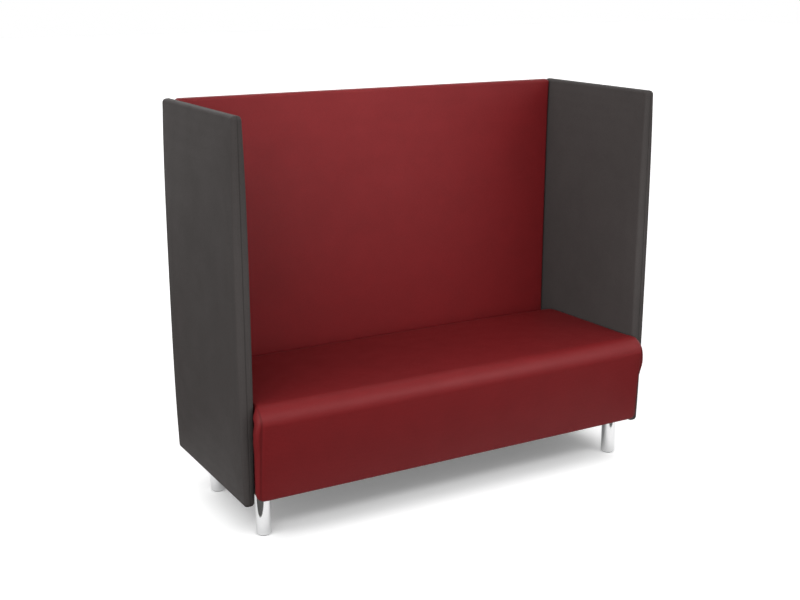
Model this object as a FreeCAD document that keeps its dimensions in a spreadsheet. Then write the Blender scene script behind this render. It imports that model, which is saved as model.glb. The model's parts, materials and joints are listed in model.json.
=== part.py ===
"""High-backed acoustic sofa: a one-piece bench seat between two tall padded side panels and a padded back.

Every piece is its own solid. Millimetres, +Z up, the front of the sofa faces -Y and the floor is Z = 0.
"""
import FreeCAD, Part
import math
import os
import Sketcher

Vector = FreeCAD.Vector
Rule = Sketcher.Constraint

SIZES = {
    # side panels: upright pads, thin at their corners and swollen between them
    "overall_height": 1350,
    "panel_depth": 606,
    "panel_spacing": 1547,
    "panel_floor_gap": 125,
    "panel_edge_swell": 10,
    "panel_face_crown": 4,
    # back panel, standing between the side panels
    "back_inset": 28,
    "back_edge_swell": 9,
    "back_face_crown": 5,
    # what every panel is made of
    "board_thickness": 18,
    "corner_padding": 2,
    "board_edge_padding": 8,
    "cover_thickness": 2,
    "soft_gap": 0.5,
    # bench seat
    "seat_height": 463,
    "seat_base_height": 150,
    "seat_overhang": 68,
    "seat_foot_setback": 41,
    "seat_front_crown": 15,
    "seat_top_crown": 6,
    "seat_rear_fall": 10,
    "seat_front_radius": 55,
    "seat_rear_radius": 85,
    "foam_depth": 127,
    "nose_overlap": 16,
    "nose_round": 14,
    "nose_shrink": 14,
    "nose_gap": 1,
    # timber frame under the seat foam
    "rail_thickness": 25,
    "front_pad": 12,
    "cross_rail_spacing": 490,
    "cross_rail_drop": 40,
    "block_length": 120,
    "block_depth": 110,
    "block_height": 40,
    "web_width": 60,
    "web_thickness": 1.5,
    "web_pitch": 150,
    "long_web_pitch": 170,
    "dust_thickness": 1,
    # bolts that draw the panels on to the seat frame, and dowels between the panels
    "bevel": 1,
    "bolt_radius": 4,
    "bolt_head_radius": 7.5,
    "bolt_head_height": 5,
    "bolt_clearance": 0.5,
    "bolt_tip_short": 3,
    "side_bolt_pitch": 110,
    "back_bolt_pitch": 380,
    "washer_radius": 12,
    "washer_thickness": 2,
    "tee_flange_radius": 11,
    "tee_flange_thickness": 1.5,
    "tee_barrel_radius": 5.2,
    "tee_barrel_length": 12,
    "dowel_radius": 5,
    "dowel_depth": 12,
    "dowel_grip": 20,
    "dowel_first_rise": 370,
    "dowel_pitch": 365,
    "dowel_top_drop": 125,
    # legs
    "leg_radius": 25.4,
    "leg_wall": 1.5,
    "tube_bevel": 0.5,
    "leg_side_inset": 68.5,
    "leg_front_inset": 62,
    "leg_rear_inset": 147,
    "leg_plate_size": 70,
    "leg_plate_thickness": 4,
    "screw_reach": 25,
    "screw_radius": 2.5,
    "screw_length": 30,
    "screw_head_radius": 4.6,
    "screw_head_height": 2.5,
    "screw_point": 5,
    # levelling glides
    "glide_radius": 22.4,
    "glide_show": 3,
    "glide_height": 7,
    "glide_clearance": 1,
    "glide_floor": 2,
    "stem_radius": 4.95,
    "stem_length": 70,
    "thread_clearance": 0.05,
    "plug_height": 30,
}

doc = FreeCAD.newDocument("acoustic_sofa")
sheet = doc.addObject("Spreadsheet::Sheet", "sizes")
for row, (alias, number) in enumerate(SIZES.items(), start=1):
    sheet.set(f"A{row}", alias.replace("_", " "))
    sheet.set(f"B{row}", str(number))
    sheet.setAlias(f"B{row}", alias)
doc.recompute()

# where the main faces lie, written out from the sheet
PANEL_FRONT = "((sizes.seat_overhang - sizes.panel_depth) / 2)"
PANEL_REAR = "((sizes.seat_overhang + sizes.panel_depth) / 2)"
PANEL_MIDDLE = "(sizes.seat_overhang / 2)"
PANEL_X = "(sizes.panel_spacing / 2)"
CORNER_HALF = "(sizes.board_thickness / 2 + sizes.corner_padding + sizes.cover_thickness)"
PANEL_SWELL = f"({CORNER_HALF} + sizes.panel_edge_swell + sizes.panel_face_crown)"
BACK_SWELL = f"({CORNER_HALF} + sizes.back_edge_swell + sizes.back_face_crown)"
BACK_Y = f"({PANEL_REAR} - sizes.back_inset)"
SEAT_HALF = f"({PANEL_X} - {PANEL_SWELL} - sizes.soft_gap)"
SEAT_REAR = f"({BACK_Y} - {BACK_SWELL} - sizes.soft_gap)"
SEAT_FRONT = "(-(sizes.panel_depth + sizes.seat_overhang) / 2)"
SEAT_FOOT = f"({SEAT_FRONT} + sizes.seat_foot_setback)"
NOSE_HALF = f"({SEAT_HALF} + sizes.nose_overlap)"
SEAM_HALF = f"({NOSE_HALF} - sizes.nose_round)"
FRAME_HALF = f"({SEAT_HALF} - sizes.cover_thickness)"
FRAME_REAR = f"({SEAT_REAR} - sizes.cover_thickness)"
FRAME_FRONT = f"({SEAT_FOOT} + sizes.cover_thickness + sizes.front_pad)"
FRAME_BASE = "(sizes.seat_base_height + sizes.cover_thickness + sizes.dust_thickness)"
DECK = "(sizes.seat_height - sizes.foam_depth)"
FRAME_TOP = f"({DECK} - 2 * sizes.web_thickness)"
BOLT_HEIGHT = f"(({FRAME_BASE} + {FRAME_TOP}) / 2)"
LEG_TOP = f"({FRAME_BASE} - sizes.dust_thickness - sizes.leg_plate_thickness)"
BOARD_HALF = "(sizes.board_thickness / 2)"
MARGIN = "20"
ABOVE_SEAT = "(sizes.seat_height + 100)"

AIM = {
    "+x": FreeCAD.Rotation(Vector(0, 1, 0), 90),
    "-x": FreeCAD.Rotation(Vector(0, 1, 0), -90),
    "+y": FreeCAD.Rotation(Vector(1, 0, 0), -90),
    "+z": FreeCAD.Rotation(),
}
STATIONS = (-1, -0.6, 0, 0.6, 1)
nodes = []


def value(expression):
    return float(sheet.evalExpression(expression))


def node(thing, label):
    """Mark an object as a finished piece of the sofa."""
    thing.Label = label
    nodes.append(thing)
    return thing


def put(thing, corner, turn=None):
    if turn is not None:
        thing.Placement = FreeCAD.Placement(Vector(), turn)
    for axis, expression in zip("xyz", corner):
        thing.setExpression(f"Placement.Base.{axis}", str(expression))
    return thing


def box(name, low, high):
    """A plain box between two corners that are given as expressions."""
    block = doc.addObject("Part::Box", name)
    for side, start, end in zip(("Length", "Width", "Height"), low, high):
        block.setExpression(side, f"({end}) - ({start})")
    return put(block, low)


def cut(name, base, tool):
    result = doc.addObject("Part::Cut", name)
    result.Base = base
    result.Tool = tool
    return result


def common(name, base, tool):
    result = doc.addObject("Part::Common", name)
    result.Base = base
    result.Tool = tool
    return result


def group(name, pieces):
    result = doc.addObject("Part::Compound", name)
    result.Links = pieces
    return result


def mirrored(name, source):
    """The same piece on the other side of the sofa's middle."""
    twin = doc.addObject("Part::Mirroring", name)
    twin.Source = source
    twin.Normal = (1, 0, 0)
    return twin


def pair(thing, label):
    """Keep a left-hand piece and its right-hand twin as two nodes."""
    node(thing, label)
    node(mirrored(f"{thing.Name}_twin", thing), label.replace("left", "right"))


def both_sides(things):
    """Left-hand pieces together with their right-hand twins."""
    return things + [mirrored(f"{thing.Name}_twin", thing) for thing in things]


def body_sketch(body, name, role):
    sketch = body.newObject("Sketcher::SketchObject", name)
    plane = next(f for f in body.Origin.OriginFeatures if f.Role == role)
    sketch.AttachmentSupport = (plane, [""])
    sketch.MapMode = "FlatFace"
    return sketch


def bind(sketch, rule, name, expression):
    """Add a dimension to a sketch and tie it to the sheet."""
    index = sketch.addConstraint(rule)
    sketch.renameConstraint(index, name)
    sketch.setExpression(f"Constraints.{name}", expression)


def turned(name, outline, start, aim="+z"):
    """A round piece: an outline of (radius, height) corners turned about its own axis."""
    body = doc.addObject("PartDesign::Body", name)
    sketch = body_sketch(body, f"{name}_outline", "XZ_Plane")
    corners = [Vector(value(radius), value(height), 0) for radius, height in outline]
    count = len(corners)
    for k in range(count):
        sketch.addGeometry(Part.LineSegment(corners[k], corners[(k + 1) % count]))
    for k in range(count):
        sketch.addConstraint(Rule("Coincident", k, 2, (k + 1) % count, 1))
    for k, (radius, height) in enumerate(outline):
        if radius == "0":
            sketch.addConstraint(Rule("PointOnObject", k, 1, -2))
        else:
            bind(sketch, Rule("DistanceX", -1, 1, k, 1, corners[k].x), f"radius_{k}", radius)
        if height == "0":
            sketch.addConstraint(Rule("PointOnObject", k, 1, -1))
        else:
            bind(sketch, Rule("DistanceY", -1, 1, k, 1, corners[k].y), f"height_{k}", height)
    spin = body.newObject("PartDesign::Revolution", f"{name}_turning")
    spin.Profile = sketch
    spin.ReferenceAxis = (sketch, ["V_Axis"])
    spin.Angle = 360
    return put(body, start, AIM[aim])


def rod(name, radius, length, start, aim):
    """A plain cylinder, used to bore holes."""
    bar = doc.addObject("Part::Cylinder", name)
    bar.setExpression("Radius", radius)
    bar.setExpression("Height", length)
    return put(bar, start, AIM[aim])


def crowned_section(body, name, height, length, edge, crown):
    """One level of an upright pad: short straight ends and two long bowed faces."""
    sketch = body_sketch(body, name, "XY_Plane")
    sketch.setExpression("AttachmentOffset.Base.z", height)
    reach, half, bow = value(length) / 2, value(edge) / 2, value(crown)
    low_left, high_left = Vector(-reach, -half, 0), Vector(-reach, half, 0)
    low_right, high_right = Vector(reach, -half, 0), Vector(reach, half, 0)
    sketch.addGeometry(Part.LineSegment(low_left, high_left))
    sketch.addGeometry(Part.Arc(high_left, Vector(0, half + bow, 0), high_right))
    sketch.addGeometry(Part.LineSegment(high_right, low_right))
    sketch.addGeometry(Part.Arc(low_right, Vector(0, -half - bow, 0), low_left))
    sketch.addConstraint([
        Rule("Coincident", 0, 2, 1, 2),
        Rule("Coincident", 1, 1, 2, 1),
        Rule("Coincident", 2, 2, 3, 2),
        Rule("Coincident", 3, 1, 0, 1),
        Rule("Vertical", 0),
        Rule("Horizontal", 0, 2, 2, 1),
        Rule("Symmetric", 0, 1, 2, 1, -1, 1),
        Rule("Symmetric", 0, 2, 2, 2, -1, 1),
        Rule("Equal", 1, 3),
    ])
    bind(sketch, Rule("DistanceX", 0, 1, 2, 2, 2 * reach), "length", length)
    bind(sketch, Rule("DistanceY", 0, 1, 0, 2, 2 * half), "edge", edge)
    bow_radius = f"(({length}) ^ 2 / 4 + ({crown}) ^ 2) / (2 * ({crown}))"
    bind(sketch, Rule("Radius", 1, value(bow_radius)), "bow", bow_radius)
    return sketch


def panel_pad(name, length, swell, crown, inset, middle, sideways):
    """The swollen form of an upholstered panel, drawn in all round by inset."""
    body = doc.addObject("PartDesign::Body", name)
    low = f"(sizes.panel_floor_gap + {inset})"
    high = f"(sizes.overall_height - {inset})"
    sections = []
    for k, station in enumerate(STATIONS):
        fullness = round(1 - abs(station) ** 3, 4)
        height = f"({low} + {high}) / 2 + {station} * ({high} - {low}) / 2"
        edge = f"2 * ({CORNER_HALF} - {inset} + {fullness} * {swell})"
        bow = f"{crown} * (0.2 + 0.8 * {fullness})"
        sections.append(crowned_section(body, f"{name}_{k}", height, f"{length} - 2 * {inset}", edge, bow))
    loft = body.newObject("PartDesign::AdditiveLoft", f"{name}_loft")
    loft.Profile = sections[0]
    loft.Sections = sections[1:]
    turn = FreeCAD.Rotation(Vector(0, 0, 1), 90 if sideways else 0)
    return put(body, (*middle, "0"), turn)


def seat_section(body, name, across, fullness, inset, base):
    """The seat seen from its end: leaning front, rounded top edges, upright rear."""
    sketch = body_sketch(body, name, "YZ_Plane")
    sketch.setExpression("AttachmentOffset.Base.z", across)
    foot = f"{SEAT_FOOT} + {inset}"
    front = f"{SEAT_FRONT} + (1 - {fullness}) * sizes.seat_front_crown + {inset}"
    top = f"sizes.seat_height + {fullness} * sizes.seat_top_crown - {inset}"
    fall = f"{top} - sizes.seat_rear_fall"
    rear = f"{SEAT_REAR} - {inset}"
    front_radius = f"sizes.seat_front_radius - {inset}"
    rear_radius = f"sizes.seat_rear_radius - {inset}"
    y_foot, y_front, y_rear = value(foot), value(front), value(rear)
    z_base, z_top, z_fall = value(base), value(top), value(fall)
    bend, rear_bend = value(front_radius), value(rear_radius)
    near = 1 - math.sqrt(0.5)
    heel = Vector(y_rear, z_base, 0)
    toe = Vector(y_foot, z_base, 0)
    brow = Vector(y_front, z_top - bend, 0)
    crest = Vector(y_front + bend, z_top, 0)
    dip = Vector(y_rear - rear_bend, z_fall, 0)
    nape = Vector(y_rear, z_fall - rear_bend, 0)
    brow_bend = Vector(y_front + bend * near, z_top - bend * near, 0)
    nape_bend = Vector(y_rear - rear_bend * near, z_fall - rear_bend * near, 0)
    sketch.addGeometry(Part.LineSegment(heel, toe))
    sketch.addGeometry(Part.LineSegment(toe, brow))
    sketch.addGeometry(Part.Arc(brow, brow_bend, crest))
    sketch.addGeometry(Part.LineSegment(crest, dip))
    sketch.addGeometry(Part.Arc(dip, nape_bend, nape))
    sketch.addGeometry(Part.LineSegment(nape, heel))
    sketch.addConstraint([
        Rule("Coincident", 0, 2, 1, 1),
        Rule("Tangent", 1, 2, 2, 2),
        Rule("Tangent", 2, 1, 3, 1),
        Rule("Tangent", 3, 2, 4, 2),
        Rule("Tangent", 4, 1, 5, 1),
        Rule("Coincident", 5, 2, 0, 1),
        Rule("Horizontal", 0),
        Rule("Vertical", 5),
    ])
    bind(sketch, Rule("DistanceX", -1, 1, 0, 1, y_rear), "rear", rear)
    bind(sketch, Rule("DistanceY", -1, 1, 0, 1, z_base), "base", base)
    bind(sketch, Rule("DistanceX", -1, 1, 1, 1, y_foot), "foot", foot)
    bind(sketch, Rule("DistanceX", -1, 1, 1, 2, y_front), "front", front)
    bind(sketch, Rule("DistanceY", -1, 1, 3, 1, z_top), "top", top)
    bind(sketch, Rule("DistanceY", -1, 1, 3, 2, z_fall), "fall", fall)
    bind(sketch, Rule("Radius", 2, bend), "front_radius", front_radius)
    bind(sketch, Rule("Radius", 4, rear_bend), "rear_radius", rear_radius)
    return sketch


def seat_pad(name, inset, base):
    """The whole seat form, its nose ends rounded and wrapped round the front edges of the side panels."""
    body = doc.addObject("PartDesign::Body", name)
    sections = []
    for k, station in enumerate(STATIONS):
        fullness = round(1 - abs(station) ** 3, 4)
        sections.append(seat_section(body, f"{name}_{k}", f"{station} * {SEAM_HALF}", fullness, inset, base))
    loft = body.newObject("PartDesign::AdditiveLoft", f"{name}_loft")
    loft.Profile = sections[0]
    loft.Sections = sections[1:]
    for label, side in (("left", -1), ("right", 1)):
        across = f"{side} * ({NOSE_HALF} - {inset})"
        shrunk = f"({inset} + sizes.nose_shrink)"
        cap = seat_section(body, f"{name}_{label}_cap", across, 0, shrunk, f"{base} + sizes.nose_shrink")
        rim = seat_section(body, f"{name}_{label}_rim", f"{side} * {SEAM_HALF}", 0, inset, base)
        end = body.newObject("PartDesign::AdditiveLoft", f"{name}_{label}_end")
        end.Profile = rim
        end.Sections = [cap]
        end.Ruled = True
    step = box(
        f"{name}_step",
        (f"(-{NOSE_HALF} - {MARGIN})", f"({PANEL_FRONT} - sizes.nose_gap - {inset})", "0"),
        (f"(-{SEAT_HALF} + {inset})", f"({SEAT_REAR} + {MARGIN})", ABOVE_SEAT),
    )
    return cut(f"{name}_form", body, group(f"{name}_steps", both_sides([step])))


# the swollen forms that covers and foam are cut from; the left side is drawn and mirrored
COVER = "sizes.cover_thickness"
side_form = ("sizes.panel_depth", "sizes.panel_edge_swell", "sizes.panel_face_crown")
side_middle = (f"-{PANEL_X}", PANEL_MIDDLE)
side_skin = panel_pad("side_skin", *side_form, "0", side_middle, True)
side_core = panel_pad("side_core", *side_form, COVER, side_middle, True)
side_room = panel_pad("side_room", *side_form, "(-sizes.soft_gap)", side_middle, True)
side_deep_room = panel_pad("side_deep_room", *side_form, f"(-sizes.soft_gap - {COVER})", side_middle, True)
back_form = (f"2 * ({PANEL_X} - {CORNER_HALF})", "sizes.back_edge_swell", "sizes.back_face_crown")
back_middle = ("0", BACK_Y)
back_skin = cut(
    "back_skin",
    panel_pad("back_skin_pad", *back_form, "0", back_middle, False),
    group("back_skin_room", both_sides([side_room])),
)
back_core = cut(
    "back_core",
    panel_pad("back_core_pad", *back_form, COVER, back_middle, False),
    group("back_core_room", both_sides([side_deep_room])),
)
seat_skin = seat_pad("seat_skin", "0", "sizes.seat_base_height")
seat_core = seat_pad("seat_core", COVER, f"(sizes.seat_base_height - {COVER})")

# bolts, washers and tee nuts between the seat frame and the panel boards
RAIL_INNER = f"({FRAME_HALF} - sizes.rail_thickness)"
REAR_RAIL_FRONT = f"({FRAME_REAR} - sizes.rail_thickness)"
SIDE_BOARD_NEAR = f"({PANEL_X} - {BOARD_HALF})"
BACK_BOARD_NEAR = f"({BACK_Y} - {BOARD_HALF})"
BOLT_HEAD = "(sizes.bolt_head_height + sizes.washer_thickness)"
BOLT_HOLE = "sizes.bolt_radius + sizes.bolt_clearance"


def bolt_station(name, face, board_near, across, aim):
    """One bolt with its washer, tee nut and bores, from inside a rail to the far side of a panel board."""
    def at(distance):
        if aim == "+y":
            return (across, distance, BOLT_HEIGHT)
        return (f"-{distance}", across, BOLT_HEIGHT)

    board_far = f"({board_near} + sizes.board_thickness)"
    tip = f"({board_far} - {face} + {BOLT_HEAD} - sizes.bolt_tip_short)"
    bolt = turned(f"{name}_bolt", [
        ("0", "0"),
        ("sizes.bolt_head_radius - sizes.bevel", "0"),
        ("sizes.bolt_head_radius", "sizes.bevel"),
        ("sizes.bolt_head_radius", "sizes.bolt_head_height"),
        ("sizes.bolt_radius", "sizes.bolt_head_height"),
        ("sizes.bolt_radius", f"{tip} - sizes.bevel"),
        ("sizes.bolt_radius - sizes.bevel", tip),
        ("0", tip),
    ], at(f"({face} - {BOLT_HEAD})"), aim)
    washer = turned(f"{name}_washer", [
        (BOLT_HOLE, "0"),
        ("sizes.washer_radius", "0"),
        ("sizes.washer_radius", "sizes.washer_thickness"),
        (BOLT_HOLE, "sizes.washer_thickness"),
    ], at(f"({face} - sizes.washer_thickness)"), aim)
    flange = "sizes.tee_barrel_length - sizes.tee_flange_thickness"
    thread = "sizes.bolt_radius + sizes.thread_clearance"
    tee_nut = turned(f"{name}_tee_nut", [
        (thread, "0"),
        ("sizes.tee_barrel_radius", "0"),
        ("sizes.tee_barrel_radius", flange),
        ("sizes.tee_flange_radius", flange),
        ("sizes.tee_flange_radius", "sizes.tee_barrel_length"),
        (thread, "sizes.tee_barrel_length"),
    ], at(f"({board_far} - sizes.tee_barrel_length)"), aim)
    bore = rod(f"{name}_bore", BOLT_HOLE, f"{board_near} - {face} + 2", at(f"({face} - 1)"), aim)
    barrel = rod(
        f"{name}_barrel_bore", "sizes.tee_barrel_radius", "sizes.board_thickness + 2",
        at(f"({board_near} - 1)"), aim)
    recess = rod(
        f"{name}_flange_bore", "sizes.tee_flange_radius", "sizes.tee_flange_thickness + 1",
        at(f"({board_far} - sizes.tee_flange_thickness)"), aim)
    return {"bolt": bolt, "washer": washer, "tee_nut": tee_nut, "bore": bore, "seat": [barrel, recess]}


ROW = (-1.5, -0.5, 0.5, 1.5)
side_bolts = [
    bolt_station(
        f"side_{k}", RAIL_INNER, SIDE_BOARD_NEAR, f"({PANEL_MIDDLE} + {step} * sizes.side_bolt_pitch)", "-x")
    for k, step in enumerate(ROW)
]
back_bolts = [
    bolt_station(f"back_{k}", REAR_RAIL_FRONT, BACK_BOARD_NEAR, f"({step} * sizes.back_bolt_pitch)", "+y")
    for k, step in enumerate(ROW)
]
side_bores = [station["bore"] for station in side_bolts]
back_bores = group("back_bores", [station["bore"] for station in back_bolts])
for kind in ("bolt", "washer", "tee_nut"):
    pieces = both_sides([station[kind] for station in side_bolts]) + [station[kind] for station in back_bolts]
    node(group(f"all_{kind}s", pieces), f"panel_{kind}s")

# dowels that line the back board up with the side boards
BACK_BOARD_HALF = f"({FRAME_HALF} - sizes.board_edge_padding)"
DOWEL_START = f"({BACK_BOARD_HALF} - sizes.dowel_grip)"
DOWEL_LENGTH = f"({SIDE_BOARD_NEAR} + sizes.dowel_depth - {DOWEL_START})"
dowels, dowel_bores = [], []
dowel_levels = (
    "(sizes.panel_floor_gap + sizes.dowel_first_rise)",
    "(sizes.panel_floor_gap + sizes.dowel_first_rise + sizes.dowel_pitch)",
    "(sizes.overall_height - sizes.dowel_top_drop)",
)
for k, height in enumerate(dowel_levels):
    start = (f"-{DOWEL_START}", BACK_Y, height)
    dowels.append(turned(f"dowel_{k}", [
        ("0", "0"),
        ("sizes.dowel_radius - sizes.bevel", "0"),
        ("sizes.dowel_radius", "sizes.bevel"),
        ("sizes.dowel_radius", f"{DOWEL_LENGTH} - sizes.bevel"),
        ("sizes.dowel_radius - sizes.bevel", DOWEL_LENGTH),
        ("0", DOWEL_LENGTH),
    ], start, "-x"))
    dowel_bores.append(rod(f"dowel_{k}_bore", "sizes.dowel_radius", DOWEL_LENGTH, start, "-x"))
node(group("all_dowels", both_sides(dowels)), "panel_dowels")

# side panels: foam and cover on both faces of a board, wrapped round its edge to meet along the middle
EDGE_PADDING = f"{COVER} + sizes.board_edge_padding"
board_low = (f"({PANEL_FRONT} + {EDGE_PADDING})", f"(sizes.panel_floor_gap + {EDGE_PADDING})")
board_high = (f"({PANEL_REAR} - ({EDGE_PADDING}))", f"(sizes.overall_height - ({EDGE_PADDING}))")
wrap_low = (f"({PANEL_FRONT} - {MARGIN})", f"(sizes.panel_floor_gap - {MARGIN})")
wrap_high = (f"({PANEL_REAR} + {MARGIN})", f"(sizes.overall_height + {MARGIN})")
far_left = f"(-{PANEL_X} - {PANEL_SWELL} - {MARGIN})"
far_right = f"(-{PANEL_X} + {PANEL_SWELL} + {MARGIN})"
board_left, board_right = f"(-{PANEL_X} - {BOARD_HALF})", f"(-{PANEL_X} + {BOARD_HALF})"
outer_wrap = box("side_outer_wrap", (far_left, *wrap_low), (f"-{PANEL_X}", *wrap_high))
inner_wrap = box("side_inner_wrap", (f"-{PANEL_X}", *wrap_low), (far_right, *wrap_high))
side_board = box("side_board", (board_left, *board_low), (board_right, *board_high))
side_shell = cut("side_shell", side_skin, side_core)
side_holes = group("side_holes", side_bores + dowel_bores)
side_nut_seats = [tool for station in side_bolts for tool in station["seat"]]
side_padding = cut("side_padding", side_core, side_board)
inner_pad = common("side_inner_pad", side_padding, inner_wrap)
inner_sheet = common("side_inner_sheet", side_shell, inner_wrap)
pair(cut("side_board_bored", side_board, group("side_board_holes", side_nut_seats + dowel_bores)),
     "left_panel_board")
pair(common("side_outer_pad", side_padding, outer_wrap), "left_panel_outer_foam")
pair(cut("side_inner_pad_bored", inner_pad, side_holes), "left_panel_inner_foam")
pair(common("side_outer_sheet", side_shell, outer_wrap), "left_panel_outer_cover")
pair(cut("side_inner_sheet_bored", inner_sheet, side_holes), "left_panel_inner_cover")

# back panel, covered in the same way
wide = f"({PANEL_X} + {MARGIN})"
board_front, board_rear = BACK_BOARD_NEAR, f"({BACK_Y} + {BOARD_HALF})"
ahead, behind = f"({BACK_Y} - {BACK_SWELL} - {MARGIN})", f"({BACK_Y} + {BACK_SWELL} + {MARGIN})"
front_wrap = box("back_front_wrap", (f"-{wide}", ahead, wrap_low[1]), (wide, BACK_Y, wrap_high[1]))
rear_wrap = box("back_rear_wrap", (f"-{wide}", BACK_Y, wrap_low[1]), (wide, behind, wrap_high[1]))
back_board = box(
    "back_board_blank",
    (f"-{BACK_BOARD_HALF}", board_front, board_low[1]),
    (BACK_BOARD_HALF, board_rear, board_high[1]),
)
back_shell = cut("back_shell", back_skin, back_core)
back_nut_seats = [tool for station in back_bolts for tool in station["seat"]]
end_bores = both_sides(dowel_bores)
node(cut("back_board_bored", back_board, group("back_board_holes", back_nut_seats + end_bores)), "back_board")
back_padding = cut("back_padding", back_core, back_board)
front_holes = group("back_front_holes", [back_bores] + end_bores)
rear_holes = group("back_rear_holes", end_bores)
front_pad = common("back_front_pad", back_padding, front_wrap)
rear_pad = common("back_rear_pad", back_padding, rear_wrap)
node(cut("back_front_pad_bored", front_pad, front_holes), "back_front_foam")
node(cut("back_rear_pad_bored", rear_pad, rear_holes), "back_rear_foam")
front_sheet = common("back_front_sheet", back_shell, front_wrap)
rear_sheet = common("back_rear_sheet", back_shell, rear_wrap)
node(cut("back_front_sheet_bored", front_sheet, front_holes), "back_front_cover")
node(cut("back_rear_sheet_bored", rear_sheet, rear_holes), "back_rear_cover")

# screws that hold the leg plates, and their bores
LEG_X = f"({PANEL_X} - sizes.leg_side_inset)"
LEG_ROWS = {
    "front": f"({PANEL_FRONT} + sizes.leg_front_inset)",
    "rear": f"({PANEL_REAR} - sizes.leg_rear_inset)",
}
screws, screw_bores, plate_bores = [], [], {}
for end, leg_y in LEG_ROWS.items():
    plate_bores[end] = []
    for k, (step_x, step_y) in enumerate(((-1, -1), (1, -1), (1, 1), (-1, 1))):
        name = f"{end}_screw_{k}"
        head = "sizes.screw_head_height"
        tip = f"{head} + sizes.screw_length"
        start = (
            f"(-{LEG_X} + {step_x} * sizes.screw_reach)",
            f"({leg_y} + {step_y} * sizes.screw_reach)",
            f"({LEG_TOP} - {head})",
        )
        screws.append(turned(name, [
            ("0", "0"),
            ("sizes.screw_head_radius - sizes.bevel", "0"),
            ("sizes.screw_head_radius", "sizes.bevel"),
            ("sizes.screw_head_radius", head),
            ("sizes.screw_radius", head),
            ("sizes.screw_radius", f"{tip} - sizes.screw_point"),
            ("0", tip),
        ], start))
        screw_bores.append(rod(f"{name}_bore", "sizes.screw_radius", tip, start, "+z"))
        plate_bores[end].append(rod(
            f"{name}_plate_bore", "sizes.screw_radius + sizes.bolt_clearance", tip, start, "+z"))
node(group("all_screws", both_sides(screws)), "leg_screws")
screw_holes = group("screw_holes", screw_bores)

# seat frame
INNER_FRONT = f"({FRAME_FRONT} + sizes.rail_thickness)"
rail_left, rail_right = f"-{FRAME_HALF}", f"-{RAIL_INNER}"
node(box("front_rail", (f"-{FRAME_HALF}", FRAME_FRONT, FRAME_BASE), (FRAME_HALF, INNER_FRONT, FRAME_TOP)),
     "seat_front_rail")
rear_rail = box(
    "rear_rail", (f"-{FRAME_HALF}", REAR_RAIL_FRONT, FRAME_BASE), (FRAME_HALF, FRAME_REAR, FRAME_TOP))
node(cut("rear_rail_bored", rear_rail, back_bores), "seat_rear_rail")
end_rail = box("end_rail", (rail_left, INNER_FRONT, FRAME_BASE), (rail_right, REAR_RAIL_FRONT, FRAME_TOP))
pair(cut("end_rail_bored", end_rail, group("end_rail_holes", side_bores + screw_bores)), "seat_left_end_rail")
cross_rail = box(
    "cross_rail",
    ("(-sizes.cross_rail_spacing / 2 - sizes.rail_thickness / 2)", INNER_FRONT, FRAME_BASE),
    ("(-sizes.cross_rail_spacing / 2 + sizes.rail_thickness / 2)", REAR_RAIL_FRONT,
     f"({FRAME_TOP} - sizes.cross_rail_drop)"),
)
node(group("cross_rails", both_sides([cross_rail])), "seat_cross_rails")
block_right, block_top = f"({rail_right} + sizes.block_length)", f"({FRAME_BASE} + sizes.block_height)"
blocks = []
for end, low_y, high_y in (
    ("front", INNER_FRONT, f"({INNER_FRONT} + sizes.block_depth)"),
    ("rear", f"({REAR_RAIL_FRONT} - sizes.block_depth)", REAR_RAIL_FRONT),
):
    block = box(f"{end}_block", (rail_right, low_y, FRAME_BASE), (block_right, high_y, block_top))
    blocks.append(cut(f"{end}_block_bored", block, screw_holes))
node(group("corner_blocks", both_sides(blocks)), "seat_corner_blocks")

# straps: three along the seat, nine across them
web_level = f"({FRAME_TOP} + sizes.web_thickness)"
frame_middle = f"(({FRAME_FRONT} + {FRAME_REAR}) / 2)"
long_webs = []
for k in range(3):
    run = f"({frame_middle} + {k - 1} * sizes.long_web_pitch)"
    long_webs.append(box(
        f"long_web_{k}",
        (f"-{FRAME_HALF}", f"({run} - sizes.web_width / 2)", FRAME_TOP),
        (FRAME_HALF, f"({run} + sizes.web_width / 2)", web_level),
    ))
node(group("long_webs", long_webs), "seat_webbing_long")
short_webs = [
    box(
        f"short_web_{k}",
        (f"({k - 4} * sizes.web_pitch - sizes.web_width / 2)", FRAME_FRONT, web_level),
        (f"({k - 4} * sizes.web_pitch + sizes.web_width / 2)", FRAME_REAR, DECK),
    )
    for k in range(9)
]
node(group("short_webs", short_webs), "seat_webbing_short")

dust_sheet = box(
    "dust_sheet",
    (f"-{FRAME_HALF}", FRAME_FRONT, f"({FRAME_BASE} - sizes.dust_thickness)"),
    (FRAME_HALF, FRAME_REAR, FRAME_BASE),
)
node(cut("dust_sheet_bored", dust_sheet, group("dust_holes", both_sides(screw_bores))), "dust_cover")

# seat foam, and the cover cut along its seams: middle, two ends and a plain rear strip
seat_left, seat_right = f"(-{NOSE_HALF} - {MARGIN})", f"({NOSE_HALF} + {MARGIN})"
seat_ahead, seat_behind = f"({SEAT_FRONT} - {MARGIN})", f"({SEAT_REAR} + {MARGIN})"
above_deck = box("above_deck", (seat_left, seat_ahead, DECK), (seat_right, seat_behind, ABOVE_SEAT))
ahead_of_frame = box(
    "ahead_of_frame", (seat_left, seat_ahead, "sizes.seat_base_height"), (seat_right, FRAME_FRONT, DECK))
node(common("top_pad", seat_core, above_deck), "seat_foam")
node(common("front_pad", seat_core, ahead_of_frame), "seat_front_foam")
seat_shell = cut("seat_shell", seat_skin, seat_core)
nose_zone = box("nose_zone", (seat_left, seat_ahead, "0"), (f"-{SEAM_HALF}", seat_behind, ABOVE_SEAT))
flank_zone = box(
    "flank_zone", (seat_left, f"({PANEL_FRONT} - sizes.nose_gap - {COVER})", "0"),
    (f"-{FRAME_HALF}", seat_behind, ABOVE_SEAT))
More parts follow.
